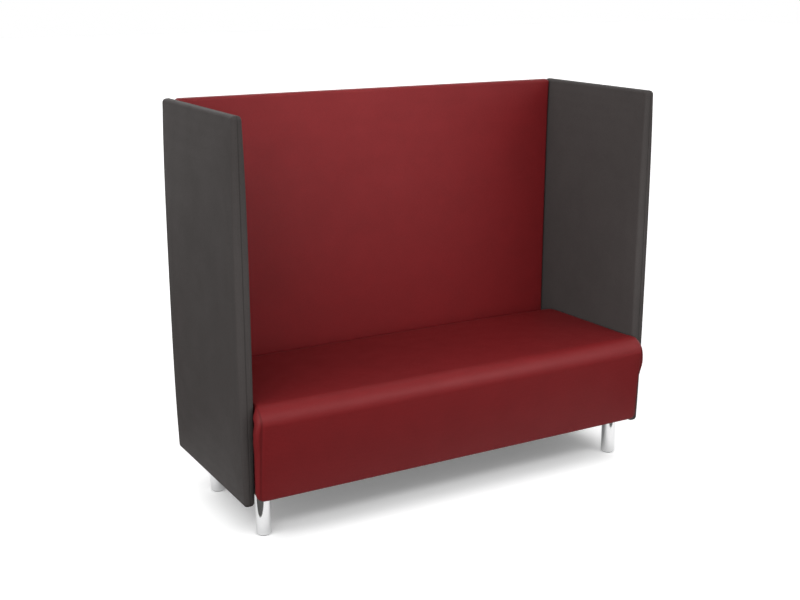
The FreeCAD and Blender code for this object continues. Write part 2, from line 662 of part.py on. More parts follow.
end_zone = doc.addObject("Part::MultiFuse", "end_zone")
end_zone.Shapes = [nose_zone, flank_zone]
end_sheet = common("seat_end_sheet", seat_shell, end_zone)
pair(cut("seat_end_sheet_bored", end_sheet, group("seat_end_holes", side_bores)), "seat_left_end_cover")
rear_zone = box("rear_zone", (f"-{FRAME_HALF}", FRAME_REAR, "0"), (FRAME_HALF, seat_behind, FRAME_TOP))
middle_sheet = cut("seat_middle_sheet", seat_shell, group("seat_ends", both_sides([end_zone])))
node(cut("seat_middle_cover", middle_sheet, rear_zone), "seat_cover")
rear_strip = box(
    "rear_strip",
    (f"-{FRAME_HALF}", FRAME_REAR, "sizes.seat_base_height"),
    (FRAME_HALF, SEAT_REAR, FRAME_TOP),
)
node(cut("rear_strip_bored", rear_strip, back_bores), "seat_rear_cover")

# legs and levelling glides
tube_bore = "sizes.leg_radius - sizes.leg_wall"
tube_length = f"{LEG_TOP} - sizes.glide_show"
glide_thread = "sizes.stem_radius + sizes.thread_clearance"
plate_half = "sizes.leg_plate_size / 2"
for end, leg_y in LEG_ROWS.items():
    leg_x = f"-{LEG_X}"
    pair(turned(f"{end}_tube", [
        (tube_bore, "0"),
        ("sizes.leg_radius - sizes.tube_bevel", "0"),
        ("sizes.leg_radius", "sizes.tube_bevel"),
        ("sizes.leg_radius", tube_length),
        (tube_bore, tube_length),
    ], (leg_x, leg_y, "sizes.glide_show")), f"{end}_left_leg_tube")
    plate = box(
        f"{end}_plate",
        (f"({leg_x} - {plate_half})", f"({leg_y} - {plate_half})", LEG_TOP),
        (f"({leg_x} + {plate_half})", f"({leg_y} + {plate_half})", f"({LEG_TOP} + sizes.leg_plate_thickness)"),
    )
    plate_holes = group(f"{end}_plate_holes", plate_bores[end])
    pair(cut(f"{end}_plate_bored", plate, plate_holes), f"{end}_left_leg_plate")
    pair(turned(f"{end}_plug", [
        (glide_thread, "0"),
        (f"{tube_bore} - sizes.bevel", "0"),
        (tube_bore, "sizes.bevel"),
        (tube_bore, "sizes.plug_height"),
        (glide_thread, "sizes.plug_height"),
    ], (leg_x, leg_y, "(sizes.glide_height + sizes.glide_clearance)")), f"{end}_left_leg_plug")
    pair(turned(f"{end}_foot", [
        ("0", "0"),
        ("sizes.glide_radius - sizes.bevel", "0"),
        ("sizes.glide_radius", "sizes.bevel"),
        ("sizes.glide_radius", "sizes.glide_height"),
        ("sizes.stem_radius", "sizes.glide_height"),
        ("sizes.stem_radius", "sizes.glide_floor"),
        ("0", "sizes.glide_floor"),
    ], (leg_x, leg_y, "0")), f"{end}_left_glide_foot")
    pair(turned(f"{end}_stem", [
        ("0", "0"),
        ("sizes.stem_radius", "0"),
        ("sizes.stem_radius", "sizes.stem_length - sizes.bevel"),
        ("sizes.stem_radius - sizes.bevel", "sizes.stem_length"),
        ("0", "sizes.stem_length"),
    ], (leg_x, leg_y, "sizes.glide_floor")), f"{end}_left_glide_stem")

doc.recompute()
for thing in doc.Objects:
    broken = [state for state in thing.State if state in ("Invalid", "Error")]
    if broken:
        raise RuntimeError(f"{thing.Name}: {broken}")
os.makedirs("parts", exist_ok=True)
for piece in nodes:
    shape = piece.Shape
    if shape.isNull() or not shape.isValid() or not shape.Solids:
        raise RuntimeError(f"{piece.Label}: no valid solid")
    shape.exportStep(f"parts/{piece.Label}.step")
    print(f"{piece.Label:28s} solids {len(shape.Solids):2d}  volume {shape.Volume / 1000:10.1f} cm3")
print(len(nodes), "pieces written")
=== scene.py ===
# %% [markdown]
# This lesson dresses a high-backed acoustic sofa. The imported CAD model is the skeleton: it says where each board,
# rail, bolt and leg is, and how large. Blender adds what CAD is poor at, which is padded covers, leather, polished
# metal and light. Everything is in metres, in the frame of the CAD model, so no piece has to be fitted by eye.

import json
import math
import bmesh
import bpy
import numpy as np
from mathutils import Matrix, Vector


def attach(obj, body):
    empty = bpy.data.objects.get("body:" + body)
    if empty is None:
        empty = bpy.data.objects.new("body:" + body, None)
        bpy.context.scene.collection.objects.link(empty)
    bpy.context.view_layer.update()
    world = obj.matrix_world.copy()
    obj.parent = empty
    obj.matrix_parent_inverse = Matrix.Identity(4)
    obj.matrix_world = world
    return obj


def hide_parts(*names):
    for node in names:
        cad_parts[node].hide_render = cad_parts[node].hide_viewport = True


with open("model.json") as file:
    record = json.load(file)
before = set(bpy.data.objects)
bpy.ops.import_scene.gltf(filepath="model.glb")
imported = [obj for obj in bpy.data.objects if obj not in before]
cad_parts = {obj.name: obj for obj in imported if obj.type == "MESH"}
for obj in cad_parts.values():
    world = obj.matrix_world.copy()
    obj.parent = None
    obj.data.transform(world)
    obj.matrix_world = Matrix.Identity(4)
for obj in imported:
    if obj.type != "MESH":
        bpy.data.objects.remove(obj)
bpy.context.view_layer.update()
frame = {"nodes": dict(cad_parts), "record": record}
scene = bpy.context.scene
nodes = frame["nodes"]

# %% [markdown]
# The camera comes first, because every later choice is seen through it. It could be placed by eye, but the straight
# edges of the panels and the feet of the legs were enough to solve for it. A lens of about 55 mm on a 36 mm sensor
# gives the mild perspective of a product picture.

# %% Camera
camera_data = bpy.data.cameras.new("camera")
camera_data.sensor_width = 36
camera_data.lens = 54.91
camera = bpy.data.objects.new("camera", camera_data)
camera.location = (-2.1186, -3.5542, 1.7529)
camera.rotation_euler = (math.radians(74.885), 0, math.radians(-29.834))
scene.collection.objects.link(camera)
scene.camera = camera
scene.view_settings.view_transform = "Standard"
print("camera at", tuple(round(c, 3) for c in camera.location))

# %% [markdown]
# A shader is a graph of nodes, and writing one in Python is mostly making nodes and joining sockets. A few small
# helpers keep that readable. They make a node and fill its sockets, do sums and blends, start a material with its
# Principled shader ready, and start a node group that several materials can share.


# %% Helpers for shader graphs
def feed(tree, socket, source):
    """Join a socket to another one, or give it a plain value."""
    if isinstance(source, bpy.types.NodeSocket):
        tree.links.new(source, socket)
    else:
        socket.default_value = source


def shade(tree, kind, settings=None, **sockets):
    """Make a node, set its own settings, and fill its sockets with values or with links from other nodes."""
    made = tree.nodes.new(kind)
    for key, setting in (settings or {}).items():
        setattr(made, key, setting)
    for name, source in sockets.items():
        feed(tree, made.inputs[name.replace("_", " ")], source)
    return made


def number(tree, operation, first, second=0.0, clamp=False):
    """A Math node between two values or sockets; the result is its output socket."""
    made = tree.nodes.new("ShaderNodeMath")
    made.operation = operation
    made.use_clamp = clamp
    for socket, source in zip(made.inputs, (first, second)):
        feed(tree, socket, source)
    return made.outputs[0]


def blend_colours(tree, factor, dark, light):
    """A Mix node between two colours or sockets."""
    made = tree.nodes.new("ShaderNodeMix")
    made.data_type = "RGBA"
    for socket, source in zip((made.inputs[0], made.inputs[6], made.inputs[7]), (factor, dark, light)):
        feed(tree, socket, source)
    return made.outputs[2]


def remap(tree, source, low, high, to_low, to_high, smooth=False):
    """A Map Range node with plain limits."""
    made = tree.nodes.new("ShaderNodeMapRange")
    made.interpolation_type = "SMOOTHSTEP" if smooth else "LINEAR"
    tree.links.new(source, made.inputs[0])
    for socket, limit in zip(made.inputs[1:5], (low, high, to_low, to_high)):
        socket.default_value = limit
    return made.outputs[0]


def new_finish(name):
    """A material with only its Principled shader; the tree and the shader come back with it."""
    material = bpy.data.materials.new(name)
    material.use_nodes = True
    return material, material.node_tree, material.node_tree.nodes["Principled BSDF"]


def new_effect(name, inputs, outputs):
    """A shader node group with named value, vector or colour sockets."""
    tree = bpy.data.node_groups.new(name, "ShaderNodeTree")
    kinds = {"value": "NodeSocketFloat", "vector": "NodeSocketVector", "colour": "NodeSocketColor"}
    for title, kind in inputs.items():
        tree.interface.new_socket(title, in_out="INPUT", socket_type=kinds[kind])
    for title, kind in outputs.items():
        tree.interface.new_socket(title, in_out="OUTPUT", socket_type=kinds[kind])
    return tree, tree.nodes.new("NodeGroupInput").outputs, tree.nodes.new("NodeGroupOutput").inputs


def place_effect(tree, effect, **sockets):
    """Put a node group into a material; the result is its outputs, by name."""
    return shade(tree, "ShaderNodeGroup", {"node_tree": effect}, **sockets).outputs


# %% [markdown]
# Both covers of this sofa are a coated cloth that is embossed to look like leather. Seen close up it is a carpet of
# small rounded pebbles with creases between them. A Voronoi texture is made for that: its distance to the nearest
# cell edge is zero in the creases and rises towards the middle of each pebble. A little noise bends the cells so that
# they don't look like cracked mud, and a slow noise gives the faint clouding that large pieces of cover have.

# %% Effect: pebble grain
pebble_grain, given, result = new_effect(
    "pebble_grain",
    {"Position": "vector", "Pebbles per Metre": "value", "Clouds per Metre": "value"},
    {"Height": "value", "Crease": "value", "Cloud": "value"},
)
tree = pebble_grain
bend = shade(tree, "ShaderNodeTexNoise", Vector=given["Position"], Scale=140.0, Detail=2.0)
bend_small = shade(tree, "ShaderNodeVectorMath", {"operation": "SCALE"}, Scale=0.0022)
tree.links.new(bend.outputs["Color"], bend_small.inputs[0])
bent = shade(tree, "ShaderNodeVectorMath", {"operation": "ADD"})
tree.links.new(given["Position"], bent.inputs[0])
tree.links.new(bend_small.outputs[0], bent.inputs[1])
cells = shade(
    tree, "ShaderNodeTexVoronoi", {"feature": "DISTANCE_TO_EDGE"},
    Vector=bent.outputs[0], Scale=given["Pebbles per Metre"], Randomness=0.9)
pebble = remap(tree, cells.outputs["Distance"], 0.0, 0.28, 0.0, 1.0, smooth=True)
pores = shade(tree, "ShaderNodeTexNoise", Vector=given["Position"], Scale=1800.0, Detail=3.0)
clouds = shade(
    tree, "ShaderNodeTexNoise", Vector=given["Position"], Scale=given["Clouds per Metre"], Detail=3.0, Roughness=0.6)
rough_top = number(tree, "MULTIPLY", pores.outputs["Fac"], 0.25)
tree.links.new(number(tree, "ADD", pebble, rough_top), result["Height"])
tree.links.new(number(tree, "SUBTRACT", 1.0, pebble), result["Crease"])
tree.links.new(remap(tree, clouds.outputs["Fac"], 0.3, 0.7, 0.0, 1.0), result["Cloud"])
print("effect", pebble_grain.name, "with", len(tree.nodes), "nodes")

# %% [markdown]
# Where two pieces of cover are sewn together, the stitches pull the seam down and pinch the cover at every hole. The
# meshes below carry two numbers at each point: how near it is to a seam, and how far along the seam it is. This effect
# turns them into a dark line of painted shade in the seam's groove and a row of small pinches, so that each seam is
# drawn where the mesh has its groove.

# %% Effect: sewn seam
sewn_seam, given, result = new_effect(
    "sewn_seam",
    {"Nearness": "value", "Run": "value", "Stitches per Metre": "value"},
    {"Line": "value", "Pinch": "value"},
)
tree = sewn_seam
# The line is painted shade in the seam's groove; the pinches are a bump.
tree.links.new(remap(tree, given["Nearness"], 0.55, 1.0, 0.0, 1.0, smooth=True), result["Line"])
turn = number(tree, "MULTIPLY", number(tree, "MULTIPLY", given["Run"], given["Stitches per Metre"]), 2 * math.pi)
beat = number(tree, "POWER", number(tree, "ABSOLUTE", number(tree, "SINE", turn)), 3.0)
band = remap(tree, given["Nearness"], 0.05, 0.6, 0.0, 1.0, smooth=True)
tree.links.new(number(tree, "MULTIPLY", beat, band), result["Pinch"])
print("effect", sewn_seam.name, "with", len(tree.nodes), "nodes")


# %% [markdown]
# The two covers differ only in colour and gloss, so one function makes both. The creases of the grain are a little
# darker and duller than the pebbles, the clouding moves colour and gloss a few percent, and the seam line is darkest,
# which is painted shade in the seam's groove. Light that has already bounced off a cover takes the darker crease
# colour, which is half as strong: in the photograph the red throws hardly any colour on the charcoal.


# %% Finish: embossed cover
PEBBLES, CLOUDS, STITCHES = 430.0, 9.0, 70.0  # per metre
CREASE_SHARE, SEAM_SHADE_SHARE, PINCH_SHARE = 0.35, 0.7, 1.6
GLOSS_DRIFT, CREASE_DULL, GRAIN_HEIGHT = 0.03, 0.12, 0.0004


def embossed_cover(name, light, dark, crease_and_shade, roughness, grain_depth):
    """A cover between two close colours, with a darker one for creases, for painted shade at seams, and for bounced
    light.
    """
    material, tree, skin = new_finish(name)
    spot = shade(tree, "ShaderNodeTexCoord").outputs["Object"]
    grain = place_effect(tree, pebble_grain, Position=spot, Pebbles_per_Metre=PEBBLES, Clouds_per_Metre=CLOUDS)
    near = shade(tree, "ShaderNodeAttribute", {"attribute_name": "seam"}).outputs["Fac"]
    run = shade(tree, "ShaderNodeAttribute", {"attribute_name": "seam_run"}).outputs["Fac"]
    seam = place_effect(tree, sewn_seam, Nearness=near, Run=run, Stitches_per_Metre=STITCHES)
    clouded = blend_colours(tree, grain["Cloud"], dark, light)
    creased = blend_colours(tree, number(tree, "MULTIPLY", grain["Crease"], CREASE_SHARE), clouded, crease_and_shade)
    # Near a seam the colour falls to the darker one: painted shade in the seam's groove.
    seam_shaded = blend_colours(tree, number(tree, "MULTIPLY", seam["Line"], SEAM_SHADE_SHARE), creased, crease_and_shade)
    bounced = shade(tree, "ShaderNodeLightPath").outputs["Is Diffuse Ray"]
    tree.links.new(blend_colours(tree, bounced, seam_shaded, crease_and_shade), skin.inputs["Base Color"])
    dull = number(tree, "MULTIPLY", grain["Crease"], CREASE_DULL)
    drift = remap(tree, grain["Cloud"], 0.0, 1.0, roughness + GLOSS_DRIFT, roughness - GLOSS_DRIFT)
    tree.links.new(number(tree, "ADD", drift, dull), skin.inputs["Roughness"])
    pinched = number(tree, "SUBTRACT", grain["Height"], number(tree, "MULTIPLY", seam["Pinch"], PINCH_SHARE))
    bump = shade(tree, "ShaderNodeBump", Strength=grain_depth, Distance=GRAIN_HEIGHT, Height=pinched)
    tree.links.new(bump.outputs[0], skin.inputs["Normal"])
    return material, skin


red_cover, red_skin = embossed_cover(
    "red_cover", (0.216, 0.0140, 0.0164, 1), (0.196, 0.0127, 0.0149, 1), (0.094, 0.0060, 0.0070, 1), 0.42, 0.30)
charcoal_cover, charcoal_skin = embossed_cover(
    "charcoal_cover", (0.081, 0.0725, 0.0703, 1), (0.0745, 0.0668, 0.0647, 1), (0.030, 0.027, 0.026, 1), 0.52, 0.34)
red_skin.inputs["Specular IOR Level"].default_value = 0.19
charcoal_skin.inputs["Specular IOR Level"].default_value = 0.05
print("covers", red_cover.name, charcoal_cover.name)

# %% [markdown]
# Metal first needs something to reflect, which the white room gives it, and then small faults: polished chrome has
# faint wipe marks, and zinc plate on screws is cloudy with a hint of yellow and blue.

# %% Finishes: chrome and zinc
chrome, tree, skin = new_finish("chrome")
spot = shade(tree, "ShaderNodeTexCoord").outputs["Object"]
wiped = shade(tree, "ShaderNodeMapping", Vector=spot, Scale=(60.0, 60.0, 900.0))
marks = shade(tree, "ShaderNodeTexNoise", Vector=wiped.outputs[0], Scale=1.0, Detail=4.0)
tree.links.new(remap(tree, marks.outputs["Fac"], 0.35, 0.75, 0.05, 0.11), skin.inputs["Roughness"])
tree.links.new(
    blend_colours(tree, marks.outputs["Fac"], (0.58, 0.585, 0.59, 1), (0.66, 0.66, 0.66, 1)), skin.inputs["Base Color"])
skin.inputs["Metallic"].default_value = 1.0
ripple = shade(tree, "ShaderNodeBump", Strength=0.03, Distance=0.0002, Height=marks.outputs["Fac"])
tree.links.new(ripple.outputs[0], skin.inputs["Normal"])

zinc, tree, skin = new_finish("zinc")
spot = shade(tree, "ShaderNodeTexCoord").outputs["Object"]
bloom = shade(tree, "ShaderNodeTexNoise", Vector=spot, Scale=320.0, Detail=4.0)
tree.links.new(
    blend_colours(tree, bloom.outputs["Fac"], (0.46, 0.47, 0.50, 1), (0.66, 0.64, 0.56, 1)), skin.inputs["Base Color"])
tree.links.new(remap(tree, bloom.outputs["Fac"], 0.3, 0.7, 0.25, 0.45), skin.inputs["Roughness"])
skin.inputs["Metallic"].default_value = 1.0
print("metals", chrome.name, zinc.name)

# %% [markdown]
# Most of the sofa's inside is never seen, but a part that is taken to pieces or cut open should still look like what
# it is. Wood and fibreboard share one effect, a noise that is stretched along the grain; how far it is stretched makes
# the difference between planed timber and pressed fibres.

# %% Effect: fibres, and the finishes made from it
long_fibres, given, result = new_effect(
    "long_fibres", {"Position": "vector", "Stretch": "vector", "Rings": "value"},
    {"Streak": "value", "Ring": "value"})
tree = long_fibres
drawn = shade(tree, "ShaderNodeVectorMath", {"operation": "MULTIPLY"})
tree.links.new(given["Position"], drawn.inputs[0])
tree.links.new(given["Stretch"], drawn.inputs[1])
streaks = shade(tree, "ShaderNodeTexNoise", Vector=drawn.outputs[0], Scale=1.0, Detail=6.0, Roughness=0.65)
tree.links.new(remap(tree, streaks.outputs["Fac"], 0.3, 0.7, 0.0, 1.0), result["Streak"])
ring_turn = number(tree, "MULTIPLY", streaks.outputs["Fac"], given["Rings"])
tree.links.new(number(tree, "ABSOLUTE", number(tree, "SINE", ring_turn)), result["Ring"])


def wooden(name, light, dark, stretch, rings, roughness):
    material, tree, skin = new_finish(name)
    spot = shade(tree, "ShaderNodeTexCoord").outputs["Object"]
    fibre = place_effect(tree, long_fibres, Position=spot, Stretch=stretch, Rings=rings)
    figure = number(tree, "MULTIPLY", fibre["Streak"], number(tree, "ADD", fibre["Ring"], 0.4), clamp=True)
    tree.links.new(blend_colours(tree, figure, dark, light), skin.inputs["Base Color"])
    tree.links.new(remap(tree, fibre["Streak"], 0.0, 1.0, roughness + 0.1, roughness - 0.05), skin.inputs["Roughness"])
    bump = shade(tree, "ShaderNodeBump", Strength=0.2, Distance=0.0003, Height=fibre["Streak"])
    tree.links.new(bump.outputs[0], skin.inputs["Normal"])
    return material


timber = wooden("timber", (0.56, 0.36, 0.18, 1), (0.36, 0.20, 0.09, 1), (6.0, 120.0, 120.0), 22.0, 0.55)
fibreboard = wooden("fibreboard", (0.40, 0.26, 0.14, 1), (0.26, 0.16, 0.08, 1), (260.0, 420.0, 420.0), 3.0, 0.75)
print("woods", timber.name, fibreboard.name)

# %% [markdown]
# Cloth is two sets of threads that pass over and under each other. Two sine waves across each other give that as a
# height, and the same effect serves the elastic straps under the foam and the thin black cloth below the seat.

# %% Effect: plain weave, and the finishes made from it
plain_weave, given, result = new_effect(
    "plain_weave", {"Position": "vector", "Threads per Metre": "value"}, {"Height": "value", "Fray": "value"})
tree = plain_weave
parts = shade(tree, "ShaderNodeSeparateXYZ", Vector=given["Position"])
waves = []
for axis in ("X", "Y"):
    turn = number(tree, "MULTIPLY", number(tree, "MULTIPLY", parts.outputs[axis], given["Threads per Metre"]), math.pi)
    waves.append(number(tree, "SINE", turn))
crossing = number(tree, "MULTIPLY", waves[0], waves[1])
tree.links.new(remap(tree, crossing, -1.0, 1.0, 0.0, 1.0), result["Height"])
fluff = shade(tree, "ShaderNodeTexNoise", Vector=given["Position"], Scale=900.0, Detail=4.0)
tree.links.new(fluff.outputs["Fac"], result["Fray"])


def woven(name, light, dark, threads, roughness):
    material, tree, skin = new_finish(name)
    spot = shade(tree, "ShaderNodeTexCoord").outputs["Object"]
    weave = place_effect(tree, plain_weave, Position=spot, Threads_per_Metre=threads)
    tone = number(tree, "MULTIPLY", weave["Height"], weave["Fray"])
    tree.links.new(blend_colours(tree, tone, dark, light), skin.inputs["Base Color"])
    tree.links.new(remap(tree, weave["Fray"], 0.3, 0.7, roughness - 0.05, roughness + 0.05), skin.inputs["Roughness"])
    bump = shade(tree, "ShaderNodeBump", Strength=0.5, Distance=0.0005, Height=weave["Height"])
    tree.links.new(bump.outputs[0], skin.inputs["Normal"])
    return material


strap = woven("strap", (0.040, 0.040, 0.045, 1), (0.010, 0.010, 0.012, 1), 420.0, 0.8)
base_cloth = woven("base_cloth", (0.022, 0.022, 0.023, 1), (0.006, 0.006, 0.007, 1), 700.0, 0.88)
print("cloths", strap.name, base_cloth.name)

# %% [markdown]
# Two finishes are left: open foam, which is a sponge of fine cells, and moulded black nylon, which has the faint
# sparkle of a spark-eroded mould.


# %% Finishes: foam and nylon
def speckled(name, light, dark, cell, roughness, depth):
    material, tree, skin = new_finish(name)
    spot = shade(tree, "ShaderNodeTexCoord").outputs["Object"]
    cells = shade(tree, "ShaderNodeTexVoronoi", Vector=spot, Scale=cell)
    tree.links.new(blend_colours(tree, cells.outputs["Distance"], dark, light), skin.inputs["Base Color"])
    tree.links.new(
        remap(tree, cells.outputs["Distance"], 0.0, 0.8, roughness - 0.06, roughness + 0.06), skin.inputs["Roughness"])
    bump = shade(tree, "ShaderNodeBump", Strength=depth, Distance=0.0003, Height=cells.outputs["Distance"])
    tree.links.new(bump.outputs[0], skin.inputs["Normal"])
    return material


foam = speckled("foam", (0.78, 0.70, 0.46, 1), (0.55, 0.47, 0.28, 1), 900.0, 0.92, 0.6)
nylon = speckled("nylon", (0.022, 0.022, 0.024, 1), (0.012, 0.012, 0.013, 1), 1500.0, 0.5, 0.2)
print("others", foam.name, nylon.name)

# %% [markdown]
# Every node of the CAD model has a slot in the record, and each slot has a finish here. One loop hands them out, so a
# node can't be forgotten. The covers and foams are replaced further down by softer pieces.

# %% Dress the CAD nodes
finish_of_slot = {
    "red_cover": red_cover, "charcoal_cover": charcoal_cover, "foam": foam, "board": fibreboard, "timber": timber,
    "webbing": strap, "dust_cloth": base_cloth, "steel": zinc, "chrome": chrome, "nylon": nylon,
}
for row in frame["record"]["subparts"]:
    mesh = nodes[row["node"]].data
    mesh.materials.clear()
    mesh.materials.append(finish_of_slot[row["material_slot"]])

# %% [markdown]
# A padded cover is a closed surface, so it is easiest to think of it as loops of points that are laced together. The
# patchwork below collects points and quads, and for each point it keeps its nearness to a seam and its place along it.


# %% Helper: patchwork of a cover
class Patchwork:
    def __init__(self):
        self.points, self.faces, self.seam, self.run = [], [], [], []

    def point(self, place, seam=0.0, run=0.0):
        self.points.append(tuple(place))
        self.seam.append(seam)
        self.run.append(run)
        return len(self.points) - 1

    def lace(self, first, second, closed=True):
        """Quads between two rows of points of equal length."""
        count = len(first)
        for k in range(count if closed else count - 1):
            after = (k + 1) % count
            self.faces.append((first[k], first[after], second[after], second[k]))

    def sew(self, name, material):
        """Turn the patchwork into an object with smooth shading and outward normals."""
        mesh = bpy.data.meshes.new(name)
        mesh.from_pydata(self.points, [], self.faces)
        for title, numbers in (("seam", self.seam), ("seam_run", self.run)):
            mesh.attributes.new(title, "FLOAT", "POINT").data.foreach_set("value", numbers)
        shell = bmesh.new()
        shell.from_mesh(mesh)
        bmesh.ops.recalc_face_normals(shell, faces=shell.faces)
        shell.to_mesh(mesh)
        shell.free()
        mesh.shade_smooth()
        mesh.materials.append(material)
        piece = bpy.data.objects.new(name, mesh)
        scene.collection.objects.link(piece)
        return piece


def spaced(half, fine, coarse, ramp):
    """Places from -half to half: steps grow from fine at both ends to coarse, over a ramp."""
    walk = [0.0]
    while walk[-1] < half:
        walk.append(walk[-1] + fine + (coarse - fine) * min(1.0, walk[-1] / ramp))
    stretch = half / walk[-1]
    near = [-half + step * stretch for step in walk]
    return near[:-1] + [0.0] + [-place for place in reversed(near[:-1])]


# %% [markdown]
# An upholstered panel is a board with foam on both faces and two covers, sewn together along the middle of the edge.
# Each face is a grid, dense near the edge where the surface turns, with its corners rounded off. It falls away over the
# last few centimetres, as foam does under a tight cover. From the rim of the face, rings of points roll over the edge,
# cross it on a shallow bulge, and meet in the seam, which the stitches pull a little below its neighbours.

# %% Helpers: the edge of a padded panel
EDGE_REACH, EDGE_ROLL, EDGE_BULGE = 0.0104, 0.0110, 0.0018
FACE_CORNER, FACE_FALL, FACE_TILT, SEAM_DEPTH = 0.005, 0.120, math.radians(10), 0.0015
ROLL_SHARES = (0.15, 0.3, 0.45, 0.6, 0.75, 0.88, 1.0)
EDGE_SHARES = (0.82, 0.64, 0.46, 0.3, 0.17, 0.08)
# Where the edge darkens towards the seam, that is painted shade in the seam's groove.
PULL_SHARE, SHADED_SHARE = 0.2, 0.36  # how much of the edge the seam pulls down, and how much it darkens
ACROSS_STEPS, UP_STEPS = (0.002, 0.018, 0.11), (0.002, 0.021, 0.13)


def crown_left(from_rim):
    """The share of a face's crown that is left at a distance in from its rim."""
    return 1 - max(0.0, 1 - max(0.0, from_rim) / FACE_FALL) ** 3


def on_roll(half, share):
    """How far out and how high the cover is, at a share of the way round the roll."""
    tilt = math.atan(2 * EDGE_BULGE / (half - 0.8 * EDGE_ROLL))
    turn = FACE_TILT + share * (math.pi / 2 - tilt - FACE_TILT)
    return EDGE_ROLL * (math.sin(turn) - math.sin(FACE_TILT)), half - EDGE_ROLL * (math.cos(FACE_TILT) - math.cos(turn))


def on_edge(half, share):
    """The same between the roll (share 1) and the seam (share 0)."""
    reach, height = on_roll(half, 1.0)
    pull = SEAM_DEPTH * max(0.0, 1 - share / PULL_SHARE) ** 2
    return reach + EDGE_BULGE * (1 - share ** 2) - pull, share * height


# %% [markdown]
# One function then makes any panel. It is told the panel's half sizes, how thick it is at each point of its face, and
# where that point lies in the frame, so that the same steps serve the upright sides and the back.


# %% Helper: padded panel
def padded_panel(name, half_width, half_height, half_thickness, place, material):
    """half_thickness(s, t) is for a point of the face; place(s, t, n) gives the point in the frame."""
    cover = Patchwork()
    face_width, face_height = half_width - EDGE_REACH, half_height - EDGE_REACH
    columns, rows = spaced(face_width, *ACROSS_STEPS), spaced(face_height, *UP_STEPS)
    last_column, last_row = len(columns) - 1, len(rows) - 1

    def on_face(i, j):
        """A place on the face, and the direction from there out over the edge."""
        s, t = columns[i], rows[j]
        u = (abs(s) - face_width) / FACE_CORNER + 1
        v = (abs(t) - face_height) / FACE_CORNER + 1
        if u <= 0 or v <= 0:
            return s, t, (i == last_column) - (i == 0), (j == last_row) - (j == 0)
        u, v = u * math.sqrt(1 - v * v / 2), v * math.sqrt(1 - u * u / 2)
        u, v = math.copysign(u, s), math.copysign(v, t)
        s += FACE_CORNER * u - math.copysign(abs(s) - face_width + FACE_CORNER, s)
        t += FACE_CORNER * v - math.copysign(abs(t) - face_height + FACE_CORNER, t)
        return s, t, u, v

    corners = [(i, 0) for i in range(last_column)] + [(last_column, j) for j in range(last_row)]
    corners += [(i, last_row) for i in range(last_column, 0, -1)] + [(0, j) for j in range(last_row, 0, -1)]
    rim = [on_face(i, j) for i, j in corners]
    runs = [0.0]
    for here, after in zip(rim, rim[1:]):
        runs.append(runs[-1] + math.dist(here[:2], after[:2]))

    def ring(side, profile, share, nearness):
        """A row of points round the edge, at a share of the way along a profile."""
        points = []
        for (s, t, u, v), run in zip(rim, runs):
            reach, height = profile(half_thickness(s, t), share)
            points.append(cover.point(place(s + u * reach, t + v * reach, side * height), nearness, run))
        return points

    middle = ring(1, on_edge, 0.0, 1.0)
    for side in (1, -1):
        face = []
        for i in range(last_column + 1):
            spots = [on_face(i, j)[:2] for j in range(last_row + 1)]
            face.append([cover.point(place(s, t, side * half_thickness(s, t))) for s, t in spots])
        for near, far in zip(face, face[1:]):
            cover.lace(near, far, closed=False)
        loop = [face[i][j] for i, j in corners]
        for share in ROLL_SHARES:
            following = ring(side, on_roll, share, 0.0)
            cover.lace(loop, following)
            loop = following
        for share in EDGE_SHARES:
            following = ring(side, on_edge, share, max(0.0, 1 - share / SHADED_SHARE))
            cover.lace(loop, following)
            loop = following
        cover.lace(loop, middle)
    return cover.sew(name, material)


# %% [markdown]
# The side panels are thin at their corners and swollen between them: the edge is about 33 mm thick at the top and
# bottom and 51 mm half way up, and the faces are a little fuller still, as foam is under a tight cover.

# %% Side panels
PANEL_X, PANEL_Y, PANEL_Z = 0.7735, 0.034, 0.7375
PANEL_HALF_DEPTH, PANEL_HALF_HEIGHT = 0.303, 0.6125
CORNER_HALF, SIDE_SWELL, FACE_CROWN, END_CROWN = 0.0163, 0.0090, 0.0030, 0.25


def fullness(share):
    """How full a pad is at a share of the way from its middle (0) to its end (1)."""
    return 1 - min(1.0, abs(share)) ** 3


def padding(s, t, half_width, swell):
    """Half the thickness of a panel at a point of its face."""
    upright = fullness(t / PANEL_HALF_HEIGHT)
    crown = crown_left(half_width - EDGE_REACH - abs(s)) * crown_left(PANEL_HALF_HEIGHT - EDGE_REACH - abs(t))
    return CORNER_HALF + swell * upright + FACE_CROWN * (END_CROWN + (1 - END_CROWN) * upright) * crown


def side_half_thickness(s, t):
    return padding(s, t, PANEL_HALF_DEPTH, SIDE_SWELL)


panels = {}
for label, side in (("left", -1), ("right", 1)):
    panels[label] = padded_panel(
        f"{label}_panel_upholstery", PANEL_HALF_DEPTH, PANEL_HALF_HEIGHT, side_half_thickness,
        lambda s, t, n, side=side: (side * (PANEL_X + n), PANEL_Y + s, PANEL_Z + t), charcoal_cover)
    print(panels[label].name, len(panels[label].data.vertices), "points")

# %% [markdown]
# The back stands between the side panels. Its ends follow their swollen faces, so its width is worked out from their
# thickness at each height, less a gap of a millimetre.

# %% Back panel
BACK_Y, BACK_GAP, BACK_SWELL = 0.309, 0.0010, 0.0078


def back_half_width(t):
    return PANEL_X - BACK_GAP - side_half_thickness(BACK_Y - PANEL_Y, t)


BACK_WIDEST = back_half_width(PANEL_HALF_HEIGHT)


def back_half_thickness(s, t):
    return padding(s, t, BACK_WIDEST, BACK_SWELL)


def back_place(s, t, n):
    return (s * back_half_width(t) / BACK_WIDEST, BACK_Y + n, PANEL_Z + t)


back = padded_panel(
    "back_upholstery", BACK_WIDEST, PANEL_HALF_HEIGHT, back_half_thickness, back_place, red_cover)
print(back.name, len(back.data.vertices), "points")

